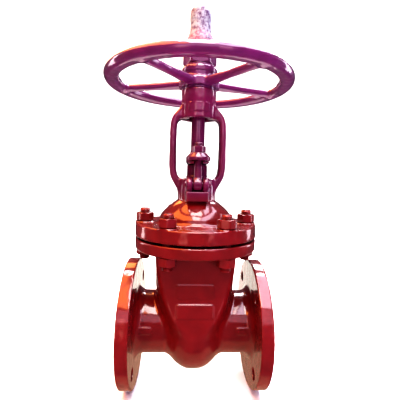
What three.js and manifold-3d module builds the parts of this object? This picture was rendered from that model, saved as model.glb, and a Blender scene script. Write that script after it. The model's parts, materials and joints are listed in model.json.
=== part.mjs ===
// A flanged wedge gate valve, 80 mm nominal bore, with an outside yoke and a rising stem.
// Millimetres. +X runs along the pipe, +Z up the stem. The origin is under the stem axis, level with
// the lowest points of the two pipe flanges. The valve stands open: the wedge is at the top of its stroke.
import * as THREE from 'three';
import { mergeVertices } from 'three/addons/utils/BufferGeometryUtils.js';
import Module from 'manifold-3d';

const wasm = await Module();
wasm.setup();

const GAP = 0.3; // between pieces that touch on the real valve
const CLEARANCE = 0.4; // round a shaft that turns or slides
const PAST = 5; // how far a cutting tool runs past the face that it cuts

// Pipe ends
const FLANGE_R = 100;
const FLANGE_T = 18;
const FACE_X = 110; // half the face-to-face length
const RAISED_R = 69;
const RAISED_T = 2;
const BORE_R = 40;
const NECK_R = 48.5;
const NECK_FILLET = 12;
const PIPE_BOLTS = 4;
const PIPE_BOLT_CIRCLE_R = 80;
const PIPE_BOLT_HOLE_R = 9;
const PIPE_Z = FLANGE_R;

// Bowl
const BELLY_R = 71;
const SHELL_T = 9;
const BOWL_TOP_HALF_X = 62.3;
const BOWL_TOP_HALF_Y = 57.5;
const BOWL_EXPONENT_LOW = 2.3; // of its superellipse sections, at the pipe axis
const BOWL_EXPONENT_HIGH = 3.8; // under the flange
const BOWL_HALF_LENGTH = 50; // along the pipe axis

// Flanges between body and bonnet
const JOINT_R = 95.8;
const BODY_FLANGE_Z = 223.7;
const BODY_FLANGE_TOP = 240.4;
const BONNET_Z = 243.4;
const GASKET_OUT_R = 70;
const GASKET_IN_R = 58;
const BONNET_FLANGE_TOP = 263;
const STUDS = 6;
const STUD_CIRCLE_R = 81.3;
const STUD_R = 8;
const STUD_HOLE_R = 8.8;
const STUD_LOW = 203.5;
const STUD_HIGH = 284.5;
const STUD_NUT_FLATS = 24;
const STUD_NUT_H = 13;
const NUT_TURN = 0.37; // radians from each stud's nuts to the next's, as they were tightened
const NUT_PAD_R = 14.5;
const NUT_PAD_T = 1.5;

// Wedge and seats
const STROKE = 86;
const WEDGE_R = 47.5;
const WEDGE_HALF_T = 14; // at the middle of the disc
const SEAT_ANGLE = THREE.MathUtils.degToRad(5);
const SEAT_RING_R = 47;
const SEAT_RING_BACK_X = 34;
const PORT_R = 54;
const GUIDE_HALF_T = 4;
const GUIDE_Y = 45;
const GUIDE_OUT_Y = 67;
const GUIDE_LOW_Z = 60;
const LUG_HALF_X = 15; // the wedge's lug, which holds the stem's head
const LUG_HALF_Y = 19;
const LUG_LOW = 30; // above the middle of the wedge
const LUG_TOP = 64;
const WEDGE_Z = PIPE_Z + STROKE;

// Stem
const STEM_R = 10.5;
const STEM_TOP = 584;
const STEM_NECK_R = 8.5;
const STEM_HEAD_R = 14;
const STEM_HEAD_T = 6;
const STEM_HEAD_Z = WEDGE_Z + 48;
const BACK_SEAT_R = 14;
const BACK_SEAT_Z = 271;

// Stuffing box and gland
const BUSH_Z = 276;
const BUSH_R = 15;
const BOX_FLOOR_Z = 290;
const BOX_TOP = 332.5;
const BOX_R = 28;
const BOX_BORE_R = 17.6;
const PACKING_RINGS = 4;
const PACKING_H = 7;
const PACKING_WASHER_T = 2.7;
const FOLLOWER_TOP = 354.7;
const FOLLOWER_R = 17.1;
const GLAND_Z = 355;
const GLAND_T = 4.2;
const GLAND_BOSS_R = 14;
const GLAND_BOSS_TOP = 366;
const GLAND_HALF_W = 18.3;
const GLAND_HALF_L = 46;
const GLAND_SLOT_HALF_W = 6.7;
const GLAND_ROUND = 1.2;

// Eyebolts
const PIN_Y = 36;
const PIN_Z = 325;
const PIN_R = 4.5;
const PIN_HALF_L = 19.5;
const EYE_R = 9.5;
const EYE_HALF_T = 6.5;
const EYEBOLT_R = 6;
const EYEBOLT_TOP = 386.5;
const LUG_IN_X = 7.2;
const LUG_OUT_X = 17;
const LUG_R = 10.5;
const LUG_BASE_Z = 299;
const LUG_BASE_TOP = 313;
const LUG_BASE_Y = 42;
const GLAND_NUT_FLATS = 19;
const GLAND_NUT_H = 21.5; // with its collar
const NUT_CONE_R = 18;
const NUT_CONE_H = 12;
const GLAND_NUT_Z = GLAND_Z + GLAND_T + GAP;

// Yoke
const WINDOW_TOP = 426;
const YOKE_DEPTH = 25;
const YOKE_ROUND = 4;
const YOKE_HUB_R = 27;
const YOKE_HUB_TOP = 470;
const NUT_BODY_R = 17;
const NUT_BODY_Z = 432;
const NUT_RECESS_Z = 445.7;
const NUT_RECESS_R = 23;
const THRUST_R = 22.5;
const THRUST_T = 2.7;
const NUT_COLLAR_R = 22.4;
const NUT_COLLAR_T = 7.7;
const JOURNAL_R = 18.5;
const CAP_FLANGE_R = 25;
const CAP_FLANGE_T = 4.4;

// Handwheel
const WHEEL_Z = 475;
const HUB_R = 29.7;
const HUB_TIER_R = 27.5;
const HUB_TIER_Z = 488;
const HUB_TOP = 504;
const HUB_BORE_R = 18.3;
const DRIVE_R = 18;
const RIM_R = 133;
const RIM_Z = 481.7;
const RIM_SECTION = [[-10, -5], [0, -8], [10, -5], [11, 1], [7, 6.5], [0, 8], [-7, 6.5], [-11, 1]];
const SPOKES = 5;
const SPOKE_FIRST = THREE.MathUtils.degToRad(90);
const SPOKE_HUB_HALF_W = 10;
const SPOKE_RIM_HALF_W = 6.5;
const SPOKE_H = 11;
const KEY_W = 8;
const KEY_OUT_R = 21.3;
const KEY_IN_R = 14.8;
const WASHER_R = 24;
const LOCK_NUT_FLATS = 46;
const LOCK_NUT_H = 18;
const LOCK_THREAD_R = 16;
const LOCK_NUT_Z = HUB_TOP + GAP + THRUST_T + GAP;
const STEM_NUT_TOP = 529;

// Stem cover
const COVER_R = 16.4;
const COVER_TOP = 594;
const COVER_SKIRT_R = 23;
const COVER_SKIRT_H = 12;
const COVER_SOCKET_R = 17;
const COVER_WALL = 3;

// ---------- solids ----------

function withoutSlivers(index) {
  const kept = [];
  for (let i = 0; i < index.length; i += 3) {
    const [a, b, c] = [index[i], index[i + 1], index[i + 2]];
    if (a !== b && b !== c && c !== a) kept.push(a, b, c);
  }
  return kept;
}

function signedVolume(positions, triangles) {
  const corner = (i) => new THREE.Vector3().fromArray(positions, 3 * i);
  let sum = 0;
  for (let i = 0; i < triangles.length; i += 3) {
    const [a, b, c] = [corner(triangles[i]), corner(triangles[i + 1]), corner(triangles[i + 2])];
    sum += a.dot(b.cross(c));
  }
  return sum / 6;
}

function solid(geometry) {
  const bare = geometry.clone();
  bare.deleteAttribute('normal');
  bare.deleteAttribute('uv');
  const merged = mergeVertices(bare, 1e-4);
  const positions = Float32Array.from(merged.getAttribute('position').array);
  let triangles = withoutSlivers(merged.getIndex().array);
  if (signedVolume(positions, triangles) < 0) triangles = triangles.reverse();
  const triVerts = Uint32Array.from(triangles);
  return new wasm.Manifold(new wasm.Mesh({ numProp: 3, vertProperties: positions, triVerts }));
}

function geometryOf(manifold) {
  const mesh = manifold.getMesh();
  const geometry = new THREE.BufferGeometry();
  geometry.setAttribute('position', new THREE.BufferAttribute(mesh.vertProperties, 3));
  geometry.setIndex(new THREE.BufferAttribute(mesh.triVerts, 1));
  geometry.computeVertexNormals();
  return geometry;
}

function revolve(profile, segments = 20) {
  const points = profile.map(([r, z]) => new THREE.Vector2(r, z));
  return solid(new THREE.LatheGeometry(points, segments).rotateX(Math.PI / 2));
}

function revolveRing(profile, segments = 20) {
  return revolve([...profile, profile[0]], segments);
}

// The corner radius of a faceted bore whose flats lie at radius r, so that a shaft turns freely inside r.
function boreR(r, segments = 20) {
  return r / Math.cos(Math.PI / segments);
}

function tube(outerR, innerR, low, high, segments = 20) {
  const bore = boreR(innerR, segments);
  return revolveRing([[bore, low], [outerR, low], [outerR, high], [bore, high]], segments);
}

function rod(r, low, high, segments = 16) {
  return revolve([[0, low], [r, low], [r, high], [0, high]], segments);
}

function alongX(part) {
  return part.rotate([0, 90, 0]);
}

function box(lowX, lowY, lowZ, highX, highY, highZ) {
  const geometry = new THREE.BoxGeometry(highX - lowX, highY - lowY, highZ - lowZ);
  return solid(geometry.translate((lowX + highX) / 2, (lowY + highY) / 2, (lowZ + highZ) / 2));
}

function extrude(shape, depth, options = {}) {
  return solid(new THREE.ExtrudeGeometry(shape, { depth, bevelEnabled: false, ...options }));
}

function roundedEdge(r) {
  return { bevelEnabled: true, bevelThickness: r, bevelSize: r, bevelOffset: -r, bevelSegments: 2 };
}

function polar(r, angle) {
  return [r * Math.cos(angle), r * Math.sin(angle)];
}

function around(count, first = 0) {
  return Array.from({ length: count }, (_, i) => first + (2 * Math.PI * i) / count);
}

function unionOf(parts) {
  return parts.reduce((sum, part) => sum.add(part));
}

// A closed skin over a stack of level rings, each a list of points with the same number of corners.
function loft(rings) {
  const corners = rings[0].length;
  const positions = rings.flat(2);
  const triangles = [];
  for (let ring = 0; ring < rings.length - 1; ring += 1) {
    for (let i = 0; i < corners; i += 1) {
      const a = ring * corners + i;
      const b = ring * corners + ((i + 1) % corners);
      triangles.push(a, b, b + corners, a, b + corners, a + corners);
    }
  }
  for (let i = 1; i < corners - 1; i += 1) {
    const top = (rings.length - 1) * corners;
    triangles.push(0, i + 1, i, top, top + i, top + i + 1);
  }
  const geometry = new THREE.BufferGeometry();
  geometry.setAttribute('position', new THREE.Float32BufferAttribute(positions, 3));
  geometry.setIndex(triangles);
  return solid(geometry);
}

function superellipse(halfX, halfY, z, exponent, corners = 28) {
  const power = 2 / exponent;
  const bend = (v) => Math.sign(v) * Math.abs(v) ** power;
  return around(corners).map((t) => [halfX * bend(Math.cos(t)), halfY * bend(Math.sin(t)), z]);
}

// ---------- body ----------

// A section of the bowl at a height above the pipe axis, drawn in by the thickness of the wall.
function bowlRing(height, wall) {
  const rise = THREE.MathUtils.smoothstep(height, 0, 70);
  const squaring = THREE.MathUtils.smoothstep(height, 5, 100);
  const exponent = THREE.MathUtils.lerp(BOWL_EXPONENT_LOW, BOWL_EXPONENT_HIGH, squaring);
  const halfX = THREE.MathUtils.lerp(BOWL_HALF_LENGTH, BOWL_TOP_HALF_X, rise);
  const halfY = THREE.MathUtils.lerp(BELLY_R, BOWL_TOP_HALF_Y, rise);
  return superellipse(halfX - wall, halfY - wall, PIPE_Z + height, exponent);
}

function bowl(wall, top) {
  const heights = [0, 22, 45, 70, top - PIPE_Z];
  const upper = loft(heights.map((height) => bowlRing(height, wall)));
  const belly = [];
  const crown = BELLY_R - wall;
  const halfLength = BOWL_HALF_LENGTH - wall;
  for (const t of [0, 0.33, 0.67, 1]) {
    belly.push([crown * (1 - 0.46 * t ** 2.1), halfLength * t]);
  }
  const half = [...belly, [0, halfLength]];
  const mirrored = half.map(([r, x]) => [r, -x]).reverse();
  const whole = alongX(revolve([...mirrored, ...belly.slice(1), [0, halfLength]], 28));
  return upper.add(whole.translate([0, 0, PIPE_Z]));
}

function pipeEnd(side) {
  const back = FACE_X - RAISED_T - FLANGE_T;
  const profile = [
    [0, 20],
    [NECK_R, 20],
    [NECK_R, back - NECK_FILLET],
    [NECK_R + 1.5, back - 6],
    [NECK_R + 5, back - 2],
    [NECK_R + 11, back],
    [FLANGE_R - 1, back],
    [FLANGE_R, back + 1],
    [FLANGE_R, back + FLANGE_T - 1],
    [FLANGE_R - 1, back + FLANGE_T],
    [RAISED_R, back + FLANGE_T],
    [RAISED_R, FACE_X],
    [0, FACE_X],
  ];
  const end = alongX(revolve(profile, 40)).translate([0, 0, PIPE_Z]);
  return side > 0 ? end : end.rotate([0, 0, 180]);
}

function pipeBoltHoles() {
  const hole = alongX(rod(PIPE_BOLT_HOLE_R, -FACE_X - PAST, FACE_X + PAST, 12));
  const inside = FACE_X - RAISED_T - FLANGE_T - PAST;
  const between = alongX(rod(2 * PIPE_BOLT_HOLE_R, -inside, inside));
  const first = Math.PI / PIPE_BOLTS;
  return unionOf(around(PIPE_BOLTS, first).map((angle) => {
    const [y, z] = polar(PIPE_BOLT_CIRCLE_R, angle);
    return hole.subtract(between).translate([0, y, PIPE_Z + z]);
  }));
}

function studHoles(low, high) {
  return unionOf(around(STUDS).map((angle) => {
    const [x, y] = polar(STUD_CIRCLE_R, angle);
    return rod(STUD_HOLE_R, low, high, 10).translate([x, y, 0]);
  }));
}

// Everything on the wedge's side of one slanted plane, which is offset along X from the wedge's face.
function wedgeSide(side, offset) {
  const reach = 120;
  const slab = box(-reach, -reach, -reach, WEDGE_HALF_T + offset, reach, reach);
  const lean = THREE.MathUtils.radToDeg(SEAT_ANGLE);
  const leaning = slab.translate([-WEDGE_HALF_T - offset, 0, 0]).rotate([0, lean, 0]);
  const placed = leaning.translate([WEDGE_HALF_T + offset, 0, PIPE_Z]);
  return side > 0 ? placed : placed.mirror([1, 0, 0]);
}

function seatBore(side) {
  const port = alongX(rod(PORT_R, 10, 52, 24)).translate([0, 0, PIPE_Z]);
  const placed = side > 0 ? port : port.mirror([1, 0, 0]);
  return placed.subtract(wedgeSide(side, 2.5));
}

function seatPocket(side) {
  const pocket = alongX(rod(SEAT_RING_R + GAP, 0, SEAT_RING_BACK_X + GAP, 24)).translate([0, 0, PIPE_Z]);
  return side > 0 ? pocket : pocket.mirror([1, 0, 0]);
}

function guideRail(side) {
  const rail = box(-GUIDE_HALF_T, GUIDE_Y, GUIDE_LOW_Z, GUIDE_HALF_T, GUIDE_OUT_Y, BODY_FLANGE_Z);
  return side > 0 ? rail : rail.mirror([0, 1, 0]);
}

function makeBody() {
  const flange = revolve([
    [0, BODY_FLANGE_Z],
    [JOINT_R - 3, BODY_FLANGE_Z],
    [JOINT_R, BODY_FLANGE_Z + 3],
    [JOINT_R, BODY_FLANGE_TOP - 1],
    [JOINT_R - 1, BODY_FLANGE_TOP],
    [0, BODY_FLANGE_TOP],
  ], 40);
  const outside = bowl(0, BODY_FLANGE_Z + 1).add(flange).add(pipeEnd(1)).add(pipeEnd(-1));
  const rails = guideRail(1).add(guideRail(-1)).intersect(bowl(SHELL_T / 2, BODY_FLANGE_TOP - 10));
  const seats = seatBore(1).add(seatBore(-1)).intersect(bowl(SHELL_T / 2, BODY_FLANGE_Z));
  const flow = alongX(rod(BORE_R, -FACE_X - PAST, FACE_X + PAST, 24)).translate([0, 0, PIPE_Z]);
  const pockets = seatPocket(1).add(seatPocket(-1));
  const shell = outside.subtract(bowl(SHELL_T, BODY_FLANGE_TOP + PAST)).add(rails).add(seats);
  const holes = studHoles(BODY_FLANGE_Z - PAST, BODY_FLANGE_TOP + PAST);
  return shell.subtract(unionOf([flow, pockets, pipeBoltHoles(), holes]));
}

// ---------- seats and wedge ----------

function makeSeatRing(side) {
  const ring = alongX(tube(SEAT_RING_R, BORE_R, 0, SEAT_RING_BACK_X, 24)).translate([0, 0, PIPE_Z]);
  const placed = side > 0 ? ring : ring.mirror([1, 0, 0]);
  return placed.subtract(wedgeSide(side, GAP));
}

// The slots in the wedge's lug that the stem's head and neck slide into.
function stemSlots() {
  const headY = STEM_HEAD_R + CLEARANCE;
  const headLow = STEM_HEAD_Z - CLEARANCE;
  const headTop = STEM_HEAD_Z + STEM_HEAD_T + GAP;
  const neckY = STEM_NECK_R + CLEARANCE;
  const reach = LUG_HALF_X + PAST;
  const head = box(-reach, -headY, headLow, reach, headY, headTop);
  return head.add(box(-reach, -neckY, STEM_HEAD_Z, reach, neckY, WEDGE_Z + LUG_TOP + PAST));
}

function guideSlots() {
  const half = GUIDE_HALF_T + 2 * GAP;
  const high = WEDGE_R + PAST;
  const slot = box(-half, GUIDE_Y - 1, WEDGE_Z - high, half, high, WEDGE_Z + high);
  return slot.add(slot.mirror([0, 1, 0]));
}

function makeWedge() {
  const disc = alongX(rod(WEDGE_R, -2 * WEDGE_HALF_T, 2 * WEDGE_HALF_T, 32)).translate([0, 0, PIPE_Z]);
  const faces = disc.intersect(wedgeSide(1, 0)).intersect(wedgeSide(-1, 0)).translate([0, 0, STROKE]);
  const lug = box(-LUG_HALF_X, -LUG_HALF_Y, WEDGE_Z + LUG_LOW, LUG_HALF_X, LUG_HALF_Y, WEDGE_Z + LUG_TOP);
  return faces.add(lug).subtract(stemSlots()).subtract(guideSlots());
}

// ---------- bonnet ----------

// The outline of the yoke's two legs and its arch over the stem, seen from the front.
function yokeShape() {
  const outer = [[30, 308], [31, 314], [36, 325], [42.5, 338], [44, 358], [44, 385], [43.7, 409], [42, 424]];
  const foot = 292;
  const shape = new THREE.Shape();
  shape.moveTo(30, foot);
  shape.lineTo(...outer[0]);
  shape.splineThru(outer.slice(1).map(([x, z]) => new THREE.Vector2(x, z)));
  shape.lineTo(27, 448);
  shape.lineTo(-27, 448);
  shape.lineTo(-42, 424);
  shape.splineThru(outer.slice(0, -1).reverse().map(([x, z]) => new THREE.Vector2(-x, z)));
  shape.lineTo(-30, foot);
  shape.closePath();
  return shape;
}

function windowShape() {
  const side = [[31.6, 343], [33.6, 362], [34, 393], [33, 417]];
  const corner = 7;
  const hole = new THREE.Shape();
  hole.moveTo(-24, BOX_TOP);
  hole.lineTo(24, BOX_TOP);
  hole.quadraticCurveTo(29.5, BOX_TOP, ...side[0]);
  hole.splineThru(side.slice(1).map(([x, z]) => new THREE.Vector2(x, z)));
  hole.quadraticCurveTo(32.5, WINDOW_TOP, 33 - corner - 2, WINDOW_TOP);
  hole.lineTo(-24, WINDOW_TOP);
  hole.quadraticCurveTo(-32.5, WINDOW_TOP, -33, 417);
  hole.splineThru(side.slice(0, -1).reverse().map(([x, z]) => new THREE.Vector2(-x, z)));
  hole.quadraticCurveTo(-29.5, BOX_TOP, -24, BOX_TOP);
  return hole;
}

function yokeFrame() {
  const options = { ...roundedEdge(YOKE_ROUND), curveSegments: 2 };
  const plate = extrude(yokeShape(), YOKE_DEPTH - 2 * YOKE_ROUND, options);
  const window = extrude(windowShape(), YOKE_DEPTH + 2 * PAST, { curveSegments: 3 });
  const placed = plate.rotate([90, 0, 0]).translate([0, YOKE_DEPTH / 2 - YOKE_ROUND, 0]);
  return placed.subtract(window.rotate([90, 0, 0]).translate([0, YOKE_DEPTH / 2 + PAST, 0]));
}

function bonnetShell() {
  return revolve([
    [0, BONNET_Z],
    [JOINT_R - 1, BONNET_Z],
    [JOINT_R, BONNET_Z + 1],
    [JOINT_R, BONNET_FLANGE_TOP - 2],
    [JOINT_R - 2, BONNET_FLANGE_TOP],
    [62, BONNET_FLANGE_TOP],
    [59, 265.5],
    [56.6, 274],
    [50.2, 283],
    [41, 291.5],
    [33, 299],
    [30.3, 305],
    [BOX_R, 318],
    [BOX_R, BOX_TOP],
    [0, BOX_TOP],
  ], 36);
}

function bonnetHollow() {
  return revolve([
    [0, BONNET_Z - PAST],
    [52, BONNET_Z - PAST],
    [52, 255],
    [47, 268],
    [40, 275],
    [24, 280],
    [BUSH_R + GAP, 280],
    [BUSH_R + GAP, BOX_FLOOR_Z - 4],
    [12, BOX_FLOOR_Z - 4],
    [12, BOX_FLOOR_Z],
    [BOX_BORE_R, BOX_FLOOR_Z],
    [BOX_BORE_R, BOX_TOP + PAST],
    [0, BOX_TOP + PAST],
  ], 20);
}

// A slice, between two x values, of a profile drawn with its first axis along Y.
function sliceAlongX(shape, xLow, xHigh) {
  const slice = extrude(shape, xHigh - xLow, { curveSegments: 7 });
  return slice.rotate([90, 0, 0]).rotate([0, 0, 90]).translate([xLow, 0, 0]);
}

// The clevis that carries an eyebolt's pin, on the front (-Y) of the stuffing box: a block with two ears.
function frontClevis() {
  const { degToRad } = THREE.MathUtils;
  const profile = (finish) => {
    const shape = new THREE.Shape();
    shape.moveTo(-20, LUG_BASE_Z);
    shape.lineTo(3 - LUG_BASE_Y, LUG_BASE_Z);
    shape.lineTo(-LUG_BASE_Y, LUG_BASE_Z + 3);
    finish(shape);
    shape.closePath();
    return shape;
  };
  const ear = profile((shape) => {
    shape.absarc(-PIN_Y, PIN_Z, LUG_R, degToRad(215), degToRad(70), true);
    shape.lineTo(-20, BOX_TOP - 1);
  });
  const base = profile((shape) => {
    shape.lineTo(-LUG_BASE_Y, LUG_BASE_TOP);
    shape.lineTo(-20, LUG_BASE_TOP);
  });
  return unionOf([
    sliceAlongX(ear, LUG_IN_X, LUG_OUT_X),
    sliceAlongX(ear, -LUG_OUT_X, -LUG_IN_X),
    sliceAlongX(base, -LUG_OUT_X, LUG_OUT_X),
  ]);
}

function bonnetLugs() {
  const clevis = frontClevis();
  return clevis.add(clevis.rotate([0, 0, 180]));
}

function eyeClearances() {
  const hole = alongX(rod(PIN_R + GAP, -30, 30, 12)).translate([0, -PIN_Y, PIN_Z]);
  const eyeRoom = alongX(rod(EYE_R + 3 * GAP, -LUG_IN_X, LUG_IN_X, 16)).translate([0, -PIN_Y, PIN_Z]);
  const front = hole.add(eyeRoom);
  return front.add(front.rotate([0, 0, 180]));
}

function nutPads() {
  return unionOf(around(STUDS).map((angle) => {
    const [x, y] = polar(STUD_CIRCLE_R, angle);
    return rod(NUT_PAD_R, BONNET_FLANGE_TOP - 1, BONNET_FLANGE_TOP + NUT_PAD_T, 12).translate([x, y, 0]);
  }));
}

function makeBonnet() {
  const hub = rod(YOKE_HUB_R, WINDOW_TOP, YOKE_HUB_TOP, 24);
  const outside = unionOf([bonnetShell(), nutPads(), yokeFrame(), hub, bonnetLugs()]);
  const nutRoom = revolve([
    [0, WINDOW_TOP - PAST],
    [NUT_BODY_R + GAP, WINDOW_TOP - PAST],
    [NUT_BODY_R + GAP, NUT_RECESS_Z],
    [NUT_RECESS_R, NUT_RECESS_Z],
    [NUT_RECESS_R, YOKE_HUB_TOP + PAST],
    [0, YOKE_HUB_TOP + PAST],
  ]);
  const holes = studHoles(BONNET_Z - PAST, BONNET_FLANGE_TOP + PAST);
  return outside.subtract(unionOf([bonnetHollow(), nutRoom, holes, eyeClearances()]));
}

// ---------- stem ----------

function makeStem() {
  return revolve([
    [0, STEM_HEAD_Z],
    [STEM_HEAD_R, STEM_HEAD_Z],
    [STEM_HEAD_R, STEM_HEAD_Z + STEM_HEAD_T],
    [STEM_NECK_R, STEM_HEAD_Z + STEM_HEAD_T],
    [STEM_NECK_R, WEDGE_Z + LUG_TOP + 1],
    [STEM_R, WEDGE_Z + LUG_TOP + 3],
    [STEM_R, BACK_SEAT_Z - 5],
    [BACK_SEAT_R, BACK_SEAT_Z - 4],
    [BACK_SEAT_R, BACK_SEAT_Z],
    [STEM_R, BUSH_Z - 1],
    [STEM_R, STEM_TOP - 1.5],
    [STEM_R - 1.5, STEM_TOP],
    [0, STEM_TOP],
  ], 16);
}

// ---------- stuffing box ----------

function makeBackSeatBush() {
  const bore = boreR(STEM_R + CLEARANCE);
  return revolveRing([
    [bore, BUSH_Z + 1.5],
    [BACK_SEAT_R, BUSH_Z],
    [BUSH_R, BUSH_Z],
    [BUSH_R, BOX_FLOOR_Z - 4 - GAP],
    [bore, BOX_FLOOR_Z - 4 - GAP],
  ]);
}

const PACKING_Z = BOX_FLOOR_Z + 2 * GAP + PACKING_WASHER_T;

function makeGlandFollower() {
  const low = PACKING_Z + PACKING_RINGS * (PACKING_H + GAP);
  const bore = boreR(STEM_R + CLEARANCE);
  return revolveRing([
    [bore, low],
    [FOLLOWER_R, low],
    [FOLLOWER_R, FOLLOWER_TOP - 4],
    [FOLLOWER_R - 1.5, FOLLOWER_TOP],
    [bore, FOLLOWER_TOP],
  ]);
}

// A plate across the stem, round-ended, with a boss in the middle and an open slot at each end for an
// eyebolt. Its top falls away round the pins at the ends, so that each eyebolt's nut swings clear of it.
function makeGlandFlange() {
  const endY = GLAND_HALF_L - GLAND_HALF_W;
  const shape = new THREE.Shape();
  shape.absarc(0, endY, GLAND_HALF_W, 0, Math.PI, false);
  shape.absarc(0, -endY, GLAND_HALF_W, Math.PI, 2 * Math.PI, false);
  shape.closePath();
  const options = { ...roundedEdge(GLAND_ROUND), curveSegments: 8 };
  const plate = extrude(shape, GLAND_T - 2 * GLAND_ROUND, options);
  const boss = rod(GLAND_BOSS_R, GLAND_Z + 1, GLAND_BOSS_TOP, 24);
  const bridge = plate.translate([0, 0, GLAND_Z + GLAND_ROUND]).add(boss);
  const low = GLAND_Z - PAST;
  const high = GLAND_BOSS_TOP + PAST;
  const reach = GLAND_HALF_W + PAST;
  const slots = [1, -1].map((side) => {
    const hole = rod(GLAND_SLOT_HALF_W, low, high, 16).translate([0, -PIN_Y, 0]);
    const way = box(-GLAND_SLOT_HALF_W, -GLAND_HALF_L - PAST, low, GLAND_SLOT_HALF_W, -PIN_Y, high);
    const sweep = alongX(rod(GLAND_NUT_Z - PIN_Z - GAP, -reach, reach, 72)).translate([0, -PIN_Y, PIN_Z]);
    const outer = box(-reach, -GLAND_HALF_L - PAST, GLAND_Z + 2, reach, -PIN_Y, high).subtract(sweep);
    const cut = unionOf([hole, way, outer]);
    return side > 0 ? cut.rotate([0, 0, 180]) : cut;
  });
  const stemHole = rod(STEM_R + 2 * CLEARANCE, low, high, 20);
  return bridge.subtract(unionOf([stemHole, ...slots]));
}

// ---------- eyebolts, nuts and studs ----------

// The eye is centred on the origin, with the pin's hole along X and the shank up +Z.
function makeEyebolt() {
  const length = EYEBOLT_TOP - PIN_Z;
  const eye = alongX(rod(EYE_R, -EYE_HALF_T, EYE_HALF_T, 20));
  const shank = revolve([
    [0, 2],
    [EYEBOLT_R, 2],
    [EYEBOLT_R, length - 1.5],
    [EYEBOLT_R - 1.5, length],
    [0, length],
  ], 12);
  return eye.add(shank).subtract(alongX(rod(PIN_R + GAP, -20, 20, 12)));
}

function makePin() {
  const chamfer = 1;
  return alongX(revolve([
    [0, -PIN_HALF_L],
    [PIN_R - chamfer, -PIN_HALF_L],
    [PIN_R, -PIN_HALF_L + chamfer],
    [PIN_R, PIN_HALF_L - chamfer],
    [PIN_R - chamfer, PIN_HALF_L],
    [0, PIN_HALF_L],
  ], 12));
}

// A hexagon nut standing on the XY plane, with flats facing +-Y.
function makeNut(flats, height, holeR) {
  const cornerR = flats / Math.sqrt(3);
  const shape = new THREE.Shape(around(6).map((angle) => new THREE.Vector2(...polar(cornerR, angle))));
  return extrude(shape, height).subtract(rod(boreR(holeR, 12), -1, height + 1, 12));
}

// An eyebolt's nut, standing on the XY plane: a hexagon on a broad conical collar.
function makeGlandNut() {
  const cone = revolve([
    [0, 0],
    [NUT_CONE_R - 1.4, 0],
    [NUT_CONE_R, 2.8],
    [NUT_CONE_R - 0.4, 6.2],
    [GLAND_NUT_FLATS / 2 + 1.4, NUT_CONE_H],
    [0, NUT_CONE_H],
  ], 24);
  const bore = rod(boreR(EYEBOLT_R + GAP, 12), -1, GLAND_NUT_H + 1, 12);
  return makeNut(GLAND_NUT_FLATS, GLAND_NUT_H, EYEBOLT_R + GAP).add(cone).subtract(bore);
}

function makeStud() {
  const chamfer = 1.5;
  return revolve([
    [0, STUD_LOW],
    [STUD_R - chamfer, STUD_LOW],
    [STUD_R, STUD_LOW + chamfer],
    [STUD_R, STUD_HIGH - chamfer],
    [STUD_R - chamfer, STUD_HIGH],
    [0, STUD_HIGH],
  ], 10);
}

// ---------- drive ----------

const LOWER_THRUST_Z = NUT_RECESS_Z + GAP;
const COLLAR_Z = LOWER_THRUST_Z + THRUST_T + GAP;
const UPPER_THRUST_Z = COLLAR_Z + NUT_COLLAR_T + GAP;
const CAP_Z = UPPER_THRUST_Z + THRUST_T + GAP;

function keyCut() {
  const half = KEY_W / 2 + GAP;
  return box(-half, -KEY_OUT_R - GAP, WHEEL_Z - 2, half, -KEY_IN_R + GAP, HUB_TOP + 2);
}

function makeStemNut() {
  const bore = boreR(STEM_R + CLEARANCE);
  const turned = revolveRing([
    [bore, NUT_BODY_Z],
    [NUT_BODY_R, NUT_BODY_Z],
    [NUT_BODY_R, COLLAR_Z],
    [NUT_COLLAR_R, COLLAR_Z],
    [NUT_COLLAR_R, COLLAR_Z + NUT_COLLAR_T],
    [JOURNAL_R, COLLAR_Z + NUT_COLLAR_T],
    [JOURNAL_R, WHEEL_Z - 1],
    [DRIVE_R, WHEEL_Z - 1],
    [DRIVE_R, HUB_TOP + GAP / 2],
    [LOCK_THREAD_R, HUB_TOP + GAP / 2],
    [LOCK_THREAD_R, STEM_NUT_TOP - 1.5],
    [LOCK_THREAD_R - 1.5, STEM_NUT_TOP],
    [bore, STEM_NUT_TOP],
  ]);
  return turned.subtract(keyCut());
}

function makeYokeCap() {
  const bore = boreR(JOURNAL_R + CLEARANCE);
  return revolveRing([
    [bore, CAP_Z],
    [NUT_RECESS_R - GAP, CAP_Z],
    [NUT_RECESS_R - GAP, YOKE_HUB_TOP + GAP],
    [CAP_FLANGE_R, YOKE_HUB_TOP + GAP],
    [CAP_FLANGE_R, YOKE_HUB_TOP + GAP + CAP_FLANGE_T - 1],
    [CAP_FLANGE_R - 1, YOKE_HUB_TOP + GAP + CAP_FLANGE_T],
    [bore, YOKE_HUB_TOP + GAP + CAP_FLANGE_T],
  ]);
}

function wheelRim() {
  return revolveRing(RIM_SECTION.map(([r, z]) => [RIM_R + r, RIM_Z + z]), 48);
}

// One spoke along +X: a round-backed bar that narrows from the hub to the rim.
function spoke() {
  const corner = 1 / Math.cos(Math.PI / 8);
  const halfH = (corner * SPOKE_H) / 2;
  const section = (x, halfW, z) => {
    return around(8, Math.PI / 8).map((t) => [x, corner * halfW * Math.cos(t), z + halfH * Math.sin(t)]);
  };
  const hubZ = RIM_Z + 1;
  return loft([
    section(HUB_R - 8, SPOKE_HUB_HALF_W + 3, hubZ),
    section(HUB_R + 6, SPOKE_HUB_HALF_W, hubZ),
    section(RIM_R - 30, SPOKE_RIM_HALF_W, RIM_Z),
    section(RIM_R, SPOKE_RIM_HALF_W + 1.5, RIM_Z - 1),
  ]);
}

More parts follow.
